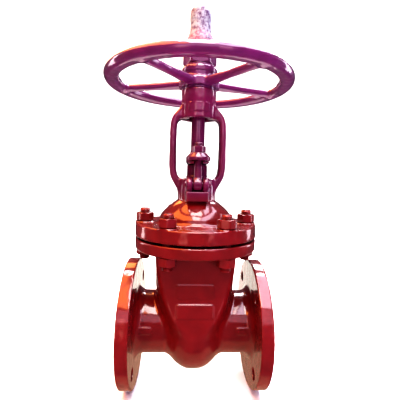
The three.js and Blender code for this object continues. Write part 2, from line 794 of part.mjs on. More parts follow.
function makeHandwheel() {
  const hub = revolve([
    [0, WHEEL_Z],
    [HUB_R - 1, WHEEL_Z],
    [HUB_R, WHEEL_Z + 1],
    [HUB_R, HUB_TIER_Z],
    [HUB_TIER_R, HUB_TIER_Z + 4],
    [HUB_TIER_R, HUB_TOP - 1],
    [HUB_TIER_R - 1, HUB_TOP],
    [0, HUB_TOP],
  ], 24);
  const spokes = around(SPOKES, SPOKE_FIRST).map((angle) => {
    return spoke().rotate([0, 0, THREE.MathUtils.radToDeg(angle)]);
  });
  const casting = unionOf([wheelRim(), hub, ...spokes]);
  const bore = rod(boreR(HUB_BORE_R), WHEEL_Z - PAST, HUB_TOP + PAST, 20);
  return casting.subtract(bore).subtract(keyCut());
}

function makeWheelKey() {
  const half = KEY_W / 2;
  return box(-half, -KEY_OUT_R, WHEEL_Z + 1, half, -KEY_IN_R, HUB_TOP - 1);
}

function makeStemCover() {
  const base = LOCK_NUT_Z + LOCK_NUT_H + GAP;
  const inner = COVER_R - COVER_WALL;
  return revolve([
    [0, COVER_TOP],
    [COVER_R - 4, COVER_TOP],
    [COVER_R - 1, COVER_TOP - 2.5],
    [COVER_R, COVER_TOP - 7],
    [COVER_R, COVER_TOP - 26],
    [COVER_R + 1.3, COVER_TOP - 38],
    [20.8, COVER_TOP - 46],
    [COVER_SKIRT_R, base + COVER_SKIRT_H],
    [COVER_SKIRT_R, base],
    [boreR(COVER_SOCKET_R), base],
    [boreR(COVER_SOCKET_R), base + COVER_SKIRT_H],
    [inner, base + COVER_SKIRT_H + 14],
    [inner, COVER_TOP - COVER_WALL],
    [0, COVER_TOP - COVER_WALL],
  ]);
}

// ---------- assembly ----------

const valve = new THREE.Group();

function paint(color, roughness = 0.35) {
  return new THREE.MeshStandardMaterial({ color, roughness, metalness: 0.1 });
}

function metal(color, roughness = 0.35) {
  return new THREE.MeshStandardMaterial({ color, roughness, metalness: 0.9 });
}

function addPiece(name, manifold, material) {
  const mesh = new THREE.Mesh(geometryOf(manifold), material);
  mesh.name = name;
  valve.add(mesh);
  return mesh;
}

const CRIMSON = 0x8c1428;
const WINE = 0x7d2340;
const LILAC = 0xc08cb8;
const BRONZE = 0xa8793c;
const STEEL = 0x9a9ca0;
const GRAPHITE = 0x242426;

addPiece('body', makeBody(), paint(CRIMSON));
addPiece('inlet_seat_ring', makeSeatRing(-1), metal(STEEL));
addPiece('outlet_seat_ring', makeSeatRing(1), metal(STEEL));
addPiece('wedge', makeWedge(), metal(STEEL, 0.5));
const gasket = tube(GASKET_OUT_R, GASKET_IN_R, BODY_FLANGE_TOP + GAP, BONNET_Z - GAP, 36);
addPiece('bonnet_gasket', gasket, paint(GRAPHITE, 0.8));
addPiece('bonnet', makeBonnet(), paint(CRIMSON));
addPiece('back_seat_bush', makeBackSeatBush(), metal(BRONZE));
addPiece('stem', makeStem(), paint(WINE));

const washerZ = BOX_FLOOR_Z + GAP;
const packingBore = STEM_R + CLEARANCE;
addPiece('packing_washer', tube(FOLLOWER_R, packingBore, washerZ, washerZ + PACKING_WASHER_T), metal(STEEL));
for (let i = 0; i < PACKING_RINGS; i += 1) {
  const low = PACKING_Z + i * (PACKING_H + GAP);
  const ring = tube(FOLLOWER_R, packingBore, low, low + PACKING_H);
  addPiece(`packing_ring_${i + 1}`, ring, paint(GRAPHITE, 0.9));
}
addPiece('gland_follower', makeGlandFollower(), paint(WINE));
addPiece('gland_flange', makeGlandFlange(), paint(WINE));

for (const [end, side] of [['front', -1], ['back', 1]]) {
  const bolt = addPiece(`eyebolt_${end}`, makeEyebolt(), paint(WINE));
  bolt.position.set(0, side * PIN_Y, PIN_Z);
  const pin = addPiece(`eyebolt_pin_${end}`, makePin(), paint(WINE));
  pin.position.set(0, side * PIN_Y, PIN_Z);
  const nut = addPiece(`gland_nut_${end}`, makeGlandNut(), paint(WINE));
  nut.position.set(0, side * PIN_Y, GLAND_NUT_Z);
}

const nutOver = BONNET_FLANGE_TOP + NUT_PAD_T + GAP;
const nutUnder = BODY_FLANGE_Z - GAP - STUD_NUT_H;
around(STUDS).forEach((angle, i) => {
  const [x, y] = polar(STUD_CIRCLE_R, angle);
  const turn = i * NUT_TURN;
  const studNut = makeNut(STUD_NUT_FLATS, STUD_NUT_H, STUD_R + GAP);
  const stud = addPiece(`bonnet_stud_${i + 1}`, makeStud(), paint(CRIMSON));
  stud.position.set(x, y, 0);
  const upper = addPiece(`upper_nut_${i + 1}`, studNut, paint(CRIMSON));
  upper.position.set(x, y, nutOver);
  upper.rotation.z = turn;
  const lower = addPiece(`lower_nut_${i + 1}`, studNut, paint(CRIMSON));
  lower.position.set(x, y, nutUnder);
  lower.rotation.z = turn;
});

const lowerThrust = tube(THRUST_R, NUT_BODY_R + CLEARANCE, LOWER_THRUST_Z, LOWER_THRUST_Z + THRUST_T);
const upperThrust = tube(THRUST_R, JOURNAL_R + CLEARANCE, UPPER_THRUST_Z, UPPER_THRUST_Z + THRUST_T);
addPiece('stem_nut', makeStemNut(), metal(BRONZE));
addPiece('thrust_washer_lower', lowerThrust, metal(BRONZE));
addPiece('thrust_washer_upper', upperThrust, metal(BRONZE));
addPiece('yoke_cap', makeYokeCap(), paint(WINE));

const washerLow = HUB_TOP + GAP;
const wheelWasher = tube(WASHER_R, LOCK_THREAD_R + CLEARANCE, washerLow, washerLow + THRUST_T);
addPiece('handwheel', makeHandwheel(), paint(WINE));
addPiece('wheel_key', makeWheelKey(), metal(STEEL));
addPiece('wheel_washer', wheelWasher, paint(WINE));
const bigNut = makeNut(LOCK_NUT_FLATS, LOCK_NUT_H, LOCK_THREAD_R + GAP);
const lockNut = addPiece('wheel_lock_nut', bigNut, paint(WINE));
lockNut.position.set(0, 0, LOCK_NUT_Z);
addPiece('stem_cover', makeStemCover(), paint(LILAC, 0.6));

export default valve;
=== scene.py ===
"""The looks of a flanged gate valve with an outside yoke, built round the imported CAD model.

Castings are distance fields, in millimetres, turned into meshes with true fillets between their parts.
Turned pieces, threads and nuts are meshes worked out ring by ring. Lengths are millimetres until a mesh
is made, in metres, in the frame's own place.
"""
import json
import math

import bpy
import numpy as np
from mathutils import Matrix, Vector


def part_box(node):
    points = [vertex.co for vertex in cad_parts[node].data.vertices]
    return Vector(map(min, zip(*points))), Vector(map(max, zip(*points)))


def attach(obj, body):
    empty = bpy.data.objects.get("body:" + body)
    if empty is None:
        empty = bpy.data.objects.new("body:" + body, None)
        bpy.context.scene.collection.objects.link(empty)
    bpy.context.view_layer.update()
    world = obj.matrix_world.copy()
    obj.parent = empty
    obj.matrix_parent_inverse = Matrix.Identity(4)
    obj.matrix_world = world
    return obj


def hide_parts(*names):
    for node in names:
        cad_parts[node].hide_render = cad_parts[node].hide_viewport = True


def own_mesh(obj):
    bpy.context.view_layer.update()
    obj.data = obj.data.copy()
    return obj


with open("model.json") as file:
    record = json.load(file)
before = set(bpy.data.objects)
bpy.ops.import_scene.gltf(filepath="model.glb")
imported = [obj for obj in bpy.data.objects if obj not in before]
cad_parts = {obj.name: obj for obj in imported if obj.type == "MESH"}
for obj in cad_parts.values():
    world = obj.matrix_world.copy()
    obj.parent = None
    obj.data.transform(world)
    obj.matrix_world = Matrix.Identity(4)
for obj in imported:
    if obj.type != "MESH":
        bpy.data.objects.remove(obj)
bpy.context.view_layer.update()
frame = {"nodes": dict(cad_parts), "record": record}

MM = 0.001


def span(node):
    """The lowest and highest corner of a CAD node, in millimetres."""
    low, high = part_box(node)
    return low / MM, high / MM


# ---------- driving sizes, from the frame where it has them ----------

BODY_LOW, BODY_HIGH = span("body")
BONNET_LOW, BONNET_HIGH = span("bonnet")
WHEEL_LOW, WHEEL_HIGH = span("handwheel")

FACE_X = BODY_HIGH.x
FLANGE_R = BODY_HIGH.y
PIPE_Z = FLANGE_R
FLANGE_T = 18
RAISED_R = 69
RAISED_T = 2
BORE_R = 40
NECK_R = 48.5
PIPE_BOLT_CIRCLE_R = 80
PIPE_BOLT_R = 9
SHELL_T = 9
BELLY_R = 71
BOWL_HALF_X = 62.3
BOWL_HALF_Y = 57.5
MARK_RISE = 0.9
FLANGE_DRAFT = 0.03

JOINT_R = BONNET_HIGH.x
BODY_FLANGE_Z = 223.7
BODY_FLANGE_TOP = BODY_HIGH.z
BONNET_Z = BONNET_LOW.z
BONNET_FLANGE_TOP = 263
STUD_CIRCLE_R = 81.3
STUD_HOLE_R = 8.8
STUDS = 6
PACKING_RINGS = 4

WEDGE_R = 47.5
WEDGE_HALF_T = 14
WEDGE_SLACK = 0.2
SEAT_SLOPE = math.tan(math.radians(5))
SEAT_COSINE = 0.996
SEAT_RING_R = 47
SEAT_BACK_X = span("outlet_seat_ring")[1].x
STROKE = 86

BOX_TOP = 332.5
BOX_R = 28
BOX_BORE_R = 17.6
FOLLOWER_R = 17.1
PACKING_BORE_R = 10.9
PIN_Y = 36
PIN_Z = 325
PIN_HOLE_R = 4.8
EYE_R = 9.5
EYE_HALF_T = 6.5
LUG_IN_X = 7.2
LUG_OUT_X = 17
YOKE_DEPTH = 25
WINDOW_TOP = 426
HUB_R = 27
HUB_MARK_Z = 441.5
HUB_TOP = BONNET_HIGH.z

RIM_HALF_W = 11
RIM_R = WHEEL_HIGH.x - RIM_HALF_W
RIM_Z = 481.7
RIM_HALF_H = 8
SPOKES = 5

THREAD_PITCH = 5
THREAD_FOOT = 428
GLAND_COLLAR_H = 11.4
SMOOTH_TO_DEG = 38


# ---------- distance fields ----------

def rounded_and(a, b, r):
    """The part inside both a and b, with the edge between them rounded to radius r."""
    return np.minimum(-r, np.maximum(a, b)) + np.hypot(np.maximum(a + r, 0), np.maximum(b + r, 0))


def filleted_or(a, b, r):
    """The part inside a or b, with a fillet of radius r where they meet."""
    return np.maximum(r, np.minimum(a, b)) - np.hypot(np.maximum(r - a, 0), np.maximum(r - b, 0))


def cut(a, b, r):
    """a without b, with the new edges rounded to radius r."""
    return rounded_and(a, -b, r)


def between(v, low, high):
    return np.abs(v - (low + high) / 2) - (high - low) / 2


def ease(v, low, high):
    t = np.clip((v - low) / (high - low), 0, 1)
    return t * t * (3 - 2 * t)


def smooth_curve(knots):
    """A smooth function through (position, value) knots."""
    at, value = np.array(knots, float).T
    tangent = np.gradient(value, at)

    def curve(v):
        v = np.clip(v, at[0], at[-1])
        i = np.clip(np.searchsorted(at, v, side="right") - 1, 0, len(at) - 2)
        width = at[i + 1] - at[i]
        t = (v - at[i]) / width
        rise = value[i + 1] - value[i]
        start = tangent[i] * width
        end = tangent[i + 1] * width
        return value[i] + t * (start + t * (3 * rise - 2 * start - end + t * (start + end - 2 * rise)))

    return curve


def turned_field(r, z, curve):
    """A body of revolution whose radius along z is curve(z), as a distance."""
    step = 0.2
    slope = (curve(z + step) - curve(z - step)) / (2 * step)
    return (r - curve(z)) / np.sqrt(1 + slope * slope)


def to_segment(u, v, a, b):
    """The distance from (u, v) to the segment from a to b, and how far along it, from 0 to 1."""
    du, dv = b[0] - a[0], b[1] - a[1]
    t = np.clip(((u - a[0]) * du + (v - a[1]) * dv) / (du * du + dv * dv), 0, 1)
    return np.hypot(u - a[0] - t * du, v - a[1] - t * dv), t


def stud_field(x, y, r):
    """Six upright cylinders of radius r on the stud circle."""
    nearest = None
    for i in range(STUDS):
        angle = 2 * math.pi * i / STUDS
        d = np.hypot(x - STUD_CIRCLE_R * math.cos(angle), y - STUD_CIRCLE_R * math.sin(angle))
        nearest = d if nearest is None else np.minimum(nearest, d)
    return nearest - r


def cast_waves(x, y, z, low, high, seed):
    """How far a sand casting's surface lies under its pattern: waves of low to high millimetres."""
    rng = np.random.default_rng(seed)
    total = 0
    for _ in range(9):
        way = rng.normal(size=3)
        way *= 2 * math.pi / rng.uniform(low, high) / np.linalg.norm(way)
        total = total + np.sin(way[0] * x + way[1] * y + way[2] * z + rng.uniform(0, 6.28))
    return np.clip(0.5 + total / 6, 0, 1)


# ---------- fields to meshes ----------

def gradient(field, points):
    h = 0.02
    rows = []
    for axis in range(3):
        ahead = points.copy()
        behind = points.copy()
        ahead[:, axis] += h
        behind[:, axis] -= h
        rows.append(field(*ahead.T) - field(*behind.T))
    slope = np.stack(rows, axis=1)
    return slope / np.maximum(np.linalg.norm(slope, axis=1, keepdims=True), 1e-9)


def crossings(value, inside, axis, origin, step, field):
    """Where the surface crosses the grid's edges along one axis: first nodes, points and outward normals."""
    nodes = np.argwhere(np.diff(inside, axis=axis))
    ends = nodes.copy()
    ends[:, axis] += 1
    first = value[tuple(nodes.T)]
    last = value[tuple(ends.T)]
    points = origin + step * nodes.astype(float)
    points[:, axis] += step * first / (first - last)
    return nodes, points, gradient(field, points)


def skin(field, low, high, step):
    """Corners and quads of the surface field(x, y, z) = 0, with corners on its edges where it has them."""
    origin = np.array(low, float) - 1.5 * step
    counts = np.ceil((np.array(high, float) + 1.5 * step - origin) / step).astype(int) + 1
    axes = [origin[i] + step * np.arange(counts[i]) for i in range(3)]
    value = np.broadcast_to(field(*np.meshgrid(*axes, indexing="ij", sparse=True)), counts).copy()
    inside = value < 0
    cell_counts = tuple(counts - 1)
    rings, points, normals = [], [], []
    for axis in range(3):
        nodes, at, out = crossings(value, inside, axis, origin, step, field)
        second, third = (axis + 1) % 3, (axis + 2) % 3
        ring = []
        for shift_second, shift_third in ((0, 0), (-1, 0), (-1, -1), (0, -1)):
            cell = nodes.copy()
            cell[:, second] += shift_second
            cell[:, third] += shift_third
            ring.append(np.ravel_multi_index(cell.T, cell_counts))
        ring = np.stack(ring, axis=1)
        leaving = inside[tuple(nodes.T)]
        rings.append(np.where(leaving[:, None], ring, ring[:, ::-1]))
        points.append(at)
        normals.append(out)
    rings, points, normals = map(np.concatenate, (rings, points, normals))
    cells, corner = np.unique(rings, return_inverse=True)
    quads = corner.reshape(rings.shape)
    return fitted_corners(quads, len(cells), points, normals, step), quads


def fitted_corners(quads, count, points, normals, step):
    """One corner for each cell: the point nearest the planes where the surface crosses its edges."""
    owner = quads.ravel()
    points = np.repeat(points, 4, axis=0)
    normals = np.repeat(normals, 4, axis=0)

    def total(values):
        return np.bincount(owner, values, minlength=count)

    uses = total(np.ones(len(owner)))
    middle = np.stack([total(points[:, i]) for i in range(3)], axis=1) / uses[:, None]
    offset = ((points - middle[owner]) * normals).sum(axis=1)
    matrix = np.empty((count, 3, 3))
    for i in range(3):
        for j in range(3):
            matrix[:, i, j] = total(normals[:, i] * normals[:, j])
        matrix[:, i, i] += 0.03 * uses
    right = np.stack([total(normals[:, i] * offset) for i in range(3)], axis=1)
    shift = np.linalg.solve(matrix, right[:, :, None])[:, :, 0]
    return middle + np.clip(shift, -0.8 * step, 0.8 * step)


def mesh_object(name, points, faces):
    """A smooth-shaded object from points in millimetres and faces all of one length, or a list of lists."""
    mesh = bpy.data.meshes.new(name)
    mesh.from_pydata((np.asarray(points) * MM).tolist(), [], [list(f) for f in faces])
    mesh.validate()
    mesh.polygons.foreach_set("use_smooth", np.ones(len(mesh.polygons), bool))
    mesh.set_sharp_from_angle(angle=math.radians(SMOOTH_TO_DEG))
    mesh.update()
    piece = bpy.data.objects.new(name, mesh)
    bpy.context.scene.collection.objects.link(piece)
    return piece


def cast(name, field, low, high, step):
    return mesh_object(name, *skin(field, low, high, step))


CREASE_X = smooth_curve([(0, 4), (15, 20), (42, 39), (75, 51), (110, 57.5), (150, 58.5)])


def bowl_half_y(z):
    return BELLY_R + (BOWL_HALF_Y - BELLY_R) * ease(z, 0, 70)


def bowl_field(x, y, z, wall):
    """The bowl round the wedge: flat in front and behind, and curved at the sides, which close in lower down.

    Under the pipe axis it is its own section there, turned about that axis.
    """
    power = 2.05
    half_x = 52 + (BOWL_HALF_X - 52) * ease(z, 0, 70)
    half_y = bowl_half_y(z)
    reach = half_y / (1 - (CREASE_X(np.maximum(z, 0)) / half_x) ** power) ** (1 / power)
    out = np.hypot(y, np.minimum(z, 0))
    u, v = np.abs(x) / half_x, out / reach
    size = (u ** power + v ** power) ** (1 / power)
    steep = np.hypot(u ** (power - 1) / half_x, v ** (power - 1) / reach)
    sides = (size - 1) * size ** (power - 1) / np.maximum(steep, 1e-4)
    return rounded_and(sides, out - half_y, 2 + 5 * ease(z, 10, 90)) + wall


def pipe_end_field(x, y, z):
    side = np.abs(x)
    r = np.hypot(y, z)
    back = FACE_X - RAISED_T - FLANGE_T
    rim = rounded_and(r - FLANGE_R, between(side, back, FACE_X - RAISED_T), 1.6)
    raised = rounded_and(r - RAISED_R, between(side, back + 2, FACE_X), 0.8)
    neck = np.maximum(r - NECK_R, side - back - 4)
    return filleted_or(np.minimum(rim, raised), neck, 13)


def blank_pads(x, y, z):
    """Low plates on the front, where a foundry would cast its marks, left blank."""
    front = bowl_half_y(z) + MARK_RISE
    neck_front = np.sqrt(np.maximum((NECK_R + MARK_RISE) ** 2 - z ** 2, 0))
    marks = ((0, 69, 27, 10, front), (0, 41, 27, 9.5, front),
             (-75, 5, 11, 5, neck_front), (75, 5, 11, 5, neck_front))
    pads = None
    for mid_x, mid_z, half_w, half_h, top in marks:
        pad = rounded_and(np.abs(x - mid_x) - half_w, np.abs(z - mid_z) - half_h, 3)
        pad = rounded_and(pad, np.maximum(-y - top, top - 6 + y), 0.7)
        pads = pad if pads is None else np.minimum(pads, pad)
    return pads


def body_field(x, y, z):
    z = z - PIPE_Z
    side = np.abs(x)
    r_pipe = np.hypot(y, z)
    r_stem = np.hypot(x, y)
    shell = filleted_or(bowl_field(x, y, z, 0), pipe_end_field(x, y, z), 7)
    low, high = BODY_FLANGE_Z - PIPE_Z, BODY_FLANGE_TOP - PIPE_Z
    shell = np.maximum(shell, z - low - 6)
    disc = rounded_and(r_stem - JOINT_R + FLANGE_DRAFT * (high - z), between(z, low, high), 2.5)
    shell = filleted_or(shell, disc, 5)
    shell = filleted_or(shell, blank_pads(x, y, z), 1.5)
    shell = shell + 0.2 * cast_waves(x, y, z, 12, 30, 5)
    faces = np.maximum(side - FACE_X, z - high)
    shell = np.maximum(shell, faces)
    seat_x = WEDGE_HALF_T + 2.5 + z * SEAT_SLOPE
    port = np.maximum(r_pipe - 54, seat_x - side)
    rail = np.maximum(np.maximum(side - 4, 45 - np.abs(y)), z - high + 12)
    hollow = cut(cut(bowl_field(x, y, z, SHELL_T), port, 1.5), rail, 1.5)
    flow = r_pipe - BORE_R
    pocket = np.maximum(r_pipe - SEAT_RING_R - 0.3, side - SEAT_BACK_X - 0.3)
    bolt = PIPE_BOLT_CIRCLE_R / math.sqrt(2)
    holes = np.hypot(np.abs(y) - bolt, np.abs(z) - bolt) - PIPE_BOLT_R
    holes = np.maximum(holes, FACE_X - RAISED_T - FLANGE_T - 5 - side)
    studs = np.maximum(stud_field(x, y, STUD_HOLE_R), low - 5 - z)
    for tool, edge in ((hollow, 1.2), (flow, 1.0), (pocket, 0.4), (holes, 1.0), (studs, 0.8)):
        shell = cut(shell, tool, edge)
    return shell


def yoke_field(x, y, z):
    outer = smooth_curve([(290, 27), (306, 28), (314, 30), (325, 36), (336, 41.6), (349, 43.9), (377, 44),
                          (409, 43.7), (421, 42.6), (431, 38.6), (438, 33), (447, 26)])
    inner = smooth_curve([(326, 29), (334, 30), (343, 32.6), (362, 33.8), (393, 34), (418, 33), (430, 31)])
    side = np.abs(x)
    window = rounded_and(side - inner(z), between(z, BOX_TOP, WINDOW_TOP), 7)
    frame_shape = np.maximum(side - outer(z), -window)
    frame_shape = np.maximum(frame_shape, between(z, 294, 448))
    return rounded_and(frame_shape * 0.95, np.abs(y) - YOKE_DEPTH / 2, 4.6)


def lug_field(x, y, z):
    away, _ = to_segment(np.abs(y), z, (PIN_Y, PIN_Z), (22, 318))
    ears = rounded_and(away - 10.3, between(np.abs(x), LUG_IN_X, LUG_OUT_X), 3.8)
    block = rounded_and(np.abs(x) - LUG_OUT_X, between(np.abs(y), 15, 42), 2)
    block = rounded_and(block, between(z, 299, 314), 1.6)
    return filleted_or(ears, block, 2)


def hub_pad(x, y, z):
    """A low band on the front of the yoke's hub, where a foundry would cast its marks, left blank."""
    plate = rounded_and(np.abs(x) - 15.5, np.abs(z - HUB_MARK_Z) - 6.5, 2)
    return rounded_and(rounded_and(plate, np.hypot(x, y) - HUB_R - 0.7, 0.5), y, 0.1)


def bonnet_hollow_field(r, z):
    dome = turned_field(r, z, smooth_curve([(236, 52), (255, 52), (268, 47), (275, 40), (280, 26)]))
    dome = np.maximum(dome, z - 280)
    steps = ((15.3, 270, 286), (12, 270, 292), (BOX_BORE_R, 290, 350), (17.3, 400, 460), (23, 445.7, 480))
    for radius, low, high in steps:
        dome = np.minimum(dome, np.maximum(r - radius, between(z, low, high)))
    return dome


def bonnet_field(x, y, z):
    r = np.hypot(x, y)
    draft = FLANGE_DRAFT * (z - BONNET_Z)
    disc = rounded_and(r - JOINT_R + draft, between(z, BONNET_Z, BONNET_FLANGE_TOP), 2.2)
    pads = rounded_and(stud_field(x, y, 14.5), between(z, BONNET_Z + 4, BONNET_FLANGE_TOP + 1.5), 0.8)
    dome_r = smooth_curve([(250, 60.5), (265, 59.6), (274.6, 56.4), (282.7, 50.2), (290.8, 41.3),
                           (296.5, 34), (301, 26), (304, 22)])
    dome = turned_field(r, z, dome_r)
    dome = rounded_and(dome, between(z, BONNET_Z + 2, 306), 1.6)
    neck = rounded_and(r - BOX_R - 1.2 * (1 - ease(z, 318, 328)), between(z, 280, BOX_TOP), 1.6)
    dome = filleted_or(dome, neck, 2.5)
    hub = rounded_and(r - HUB_R, between(z, WINDOW_TOP, HUB_TOP), 1.6)
    shell = filleted_or(disc, dome, 7)
    shell = filleted_or(shell, pads, 1.6)
    shell = filleted_or(shell, yoke_field(x, y, z), 4)
    shell = filleted_or(shell, hub, 2.5)
    shell = filleted_or(shell, lug_field(x, y, z), 2.5)
    shell = filleted_or(shell, hub_pad(x, y, z), 0.8)
    shell = shell + 0.2 * cast_waves(x, y, z, 10, 26, 8)
    side = np.abs(x)
    eye = np.hypot(np.abs(y) - PIN_Y, z - PIN_Z)
    eye_room = np.maximum(eye - EYE_R - 0.9, side - LUG_IN_X)
    pin_hole = np.maximum(eye - PIN_HOLE_R, side - 30)
    studs = np.maximum(stud_field(x, y, STUD_HOLE_R), z - BONNET_FLANGE_TOP - 10)
    for tool, edge in ((bonnet_hollow_field(r, z), 0.9), (eye_room, 0.8), (pin_hole, 0.6), (studs, 0.8)):
        shell = cut(shell, tool, edge)
    return shell


def wheel_field(x, y, z):
    r = np.hypot(x, y)
    rim = rounded_and(np.abs(r - RIM_R) - RIM_HALF_W, np.abs(z - RIM_Z) - RIM_HALF_H, 7.6)
    flare = rounded_and(r - 29.7, (r - 29.7) * 0.6 + (z - 485.5) * 0.8, 1.2)
    flare = rounded_and(flare, between(z, WHEEL_LOW.z, 494), 1)
    collar = rounded_and(r - 26.4, between(z, 488, WHEEL_HIGH.z), 0.8)
    drum = rounded_and(r - 27.6, between(z, 495, 502.5), 0.9)
    hub = filleted_or(filleted_or(flare, collar, 0.8), drum, 0.4)
    spokes = None
    for i in range(SPOKES):
        angle = math.pi / 2 + 2 * math.pi * i / SPOKES
        along = x * math.cos(angle) + y * math.sin(angle)
        across = np.abs(y * math.cos(angle) - x * math.sin(angle))
        out = np.clip((along - 24) / (RIM_R - 34), 0, 1)
        half_w = 10.5 - 4.2 * ease(out, 0, 0.55) + 1.5 * ease(out, 0.8, 1)
        half_h = 7.3 - 1.2 * ease(out, 0, 0.5)
        mid = RIM_Z - 0.7
        crown = 0.94 * (np.abs(z - mid) - half_h) + 0.34 * across
        bar = rounded_and(across - half_w, crown, 2.6)
        bar = np.maximum(bar, between(along, 5, RIM_R))
        spokes = bar if spokes is None else np.minimum(spokes, bar)
    wheel = filleted_or(filleted_or(hub, spokes, 3.5), rim, 5)
    wheel = wheel + 0.2 * cast_waves(x, y, z, 8, 24, 4)
    bore = r - 18.3
    key = np.maximum(np.abs(x) - 4.3, between(y, -21.6, 0))
    return cut(wheel, np.minimum(bore, key), 0.6)


def gland_field(x, y, z):
    low, high = span("gland_flange")
    across, _ = to_segment(x, y, (0, -27.7), (0, 27.7))
    plate = rounded_and(across - 18.2, between(z, low.z, low.z + 4.2), 0.8)
    under = (across - 14.4) * 0.77 - (z - low.z) * 0.64
    plate = rounded_and(plate, under, 1.5)
    boss = rounded_and(np.hypot(x, y) - 14, between(z, low.z + 1, high.z), 1.2)
    plate = filleted_or(plate, boss, 2)
    slot = np.hypot(x, np.minimum(np.abs(y) - PIN_Y, 0)) - 6.5
    plate = cut(plate, slot, 0.5)
    plate = cut(plate, np.hypot(x, y) - 11.3, 0.8)
    over = np.hypot(np.abs(y) - PIN_Y, z - PIN_Z) - 34
    return np.maximum(plate, np.minimum(over, np.abs(y) - PIN_Y))


def screw_depth(x, y, z, pitch, depth):
    """How far a thread's surface lies under its crest, for a helix about the z axis."""
    turn = np.arctan2(y, x) / (2 * math.pi)
    phase = (z / pitch - turn) % 1
    return depth * np.clip(np.abs(phase - 0.5) * 4 - 0.5, 0, 1)


def eyebolt_field(side):
    def field(x, y, z):
        y = y - side * PIN_Y
        z = z - PIN_Z
        top = span("eyebolt_front")[1].z - PIN_Z
        eye = rounded_and(np.hypot(y, z) - EYE_R, np.abs(x) - EYE_HALF_T, 2.4)
        worn = ease(z, 24, 27) * screw_depth(x, y, z, 1.75, 0.5)
        shank = rounded_and(np.hypot(x, y) - 6 + worn, between(z, 0, top), 1.2)
        return cut(filleted_or(eye, shank, 3), np.hypot(y, z) - PIN_HOLE_R, 0.6)

    return field


def wedge_field(x, y, z):
    """The wedge, a little thinner than the CAD's, so that it stays clear of its seats when it is closed."""
    z = z - PIPE_Z - STROKE
    thick = (np.abs(x) - WEDGE_HALF_T + WEDGE_SLACK - z * SEAT_SLOPE) * SEAT_COSINE
    disc = rounded_and(np.hypot(y, z) - WEDGE_R, thick, 1)
    lug = rounded_and(np.maximum(np.abs(x) - 15, np.abs(y) - 19), between(z, 30, 64), 2)
    wedge = filleted_or(disc, lug, 4)
    head = np.maximum(np.abs(y) - 14.4, between(z, 47.6, 54.3))
    neck = np.maximum(np.abs(y) - 8.9, 48 - z)
    rails = np.maximum(np.abs(x) - 4.6, 44 - np.abs(y))
    return cut(wedge, np.minimum(np.minimum(head, neck), rails), 0.6)


# ---------- turned pieces, nuts and threads ----------

def rings_mesh(name, rings, closed):
    """A skin over rings of points: closed end to end as a hoop, or capped at both ends."""
    rings = np.asarray(rings, float)
    count, sides = rings.shape[:2]
    faces = []
    last = count if closed else count - 1
    for k in range(last):
        here, there = k * sides, ((k + 1) % count) * sides
        for i in range(sides):
            j = (i + 1) % sides
            faces.append((here + i, here + j, there + j, there + i))
    if not closed:
        faces.append(tuple(range(sides))[::-1])
        faces.append(tuple((count - 1) * sides + i for i in range(sides)))
    return mesh_object(name, rings.reshape(-1, 3), faces)


def circle(radius, z, sides, turn=0.0):
    """A ring of points at height z; radius is a number or one value for each point."""
    angle = 2 * np.pi * np.arange(sides) / sides + turn
    return np.stack([radius * np.cos(angle), radius * np.sin(angle), np.full(sides, z)], axis=1)


def softened(profile, r):
    """A closed outline with each corner replaced by a short arc of about radius r."""
    outline = []
    count = len(profile)
    for i, corner in enumerate(profile):
        corner = np.array(corner, float)
        before = np.array(profile[i - 1], float) - corner
        after = np.array(profile[(i + 1) % count], float) - corner
        reach = min(r, np.linalg.norm(before) * 0.45, np.linalg.norm(after) * 0.45)
        start = corner + before / np.linalg.norm(before) * reach
        end = corner + after / np.linalg.norm(after) * reach
        for t in (0, 0.33, 0.67, 1):
            outline.append(start * (1 - t) ** 2 + corner * 2 * t * (1 - t) + end * t * t)
    return outline


def turned_ring(name, profile, edge=0.5, sides=96):
    """A ring turned from a closed outline of (radius, z) points that runs up the outside."""
    return rings_mesh(name, [circle(r, z, sides) for r, z in softened(profile, edge)], closed=True)


def tube(name, outer, inner, low, high, edge=0.5):
    return turned_ring(name, [(inner, low), (outer, low), (outer, high), (inner, high)], edge)


def threaded_rod(name, radius, low, high, threads, pitch, depth, sides=32, chamfer=1.5):
    """A capped rod up the z axis. threads lists the (from, to) stretches that carry the helix."""
    levels = {low, low + chamfer, high - chamfer, high}
    for start, end in threads:
        levels.update(np.arange(start, end, pitch / 6).tolist())
    levels = sorted(levels)
    angle = 2 * np.pi * np.arange(sides) / sides
    rings = []
    for z in levels:
        limit = radius - max(low + chamfer - z, z - high + chamfer, 0)
        worn = 0
        for start, end in threads:
            fade = ease(z, start, start + pitch) * (1 - ease(z, end - pitch / 2, end))
            worn = max(worn, float(fade))
        r = np.minimum(limit, radius - worn * screw_depth(np.cos(angle), np.sin(angle), z, pitch, depth))
        rings.append(circle(r, z, sides))
    return rings_mesh(name, rings, closed=False)


def nut(name, flats, height, hole, turn=0.0, sides=72):
    """A hexagon nut on the xy plane, its corners turned off at 30 degrees and softened by paint."""
    angle = 2 * np.pi * np.arange(sides) / sides
    spread = sum(np.abs(np.cos(angle - math.radians(30 + 60 * i))) ** 40 for i in range(3))
    hexagon = flats / 2 / spread ** (1 / 40)
    rings = []
    depths = (0, 0.15, 0.4, 0.7, 1.1, 1.6, 2.2, 3.0)
    levels = list(depths) + [height - d for d in reversed(depths)]
    for z in levels:
        end = min(z, height - z)
        cone = flats / 2 * 0.95 + end * 1.73
        soft = 0.25 * max(0, 1 - end / 0.3)
        r = np.minimum(hexagon, cone) - soft
        rings.append(circle(r, z, sides, turn))
    rings.append(circle(hole + 0.5, height, sides))
    rings.append(circle(hole, height - 0.5, sides))
    rings.append(circle(hole, 0.5, sides))
    rings.append(circle(hole + 0.5, 0, sides))
    return rings_mesh(name, rings, closed=True)


def placed(piece, x, y, z):
    piece.data.transform(Matrix.Translation(Vector((x, y, z)) * MM))
    return piece


# ---------- the pieces ----------

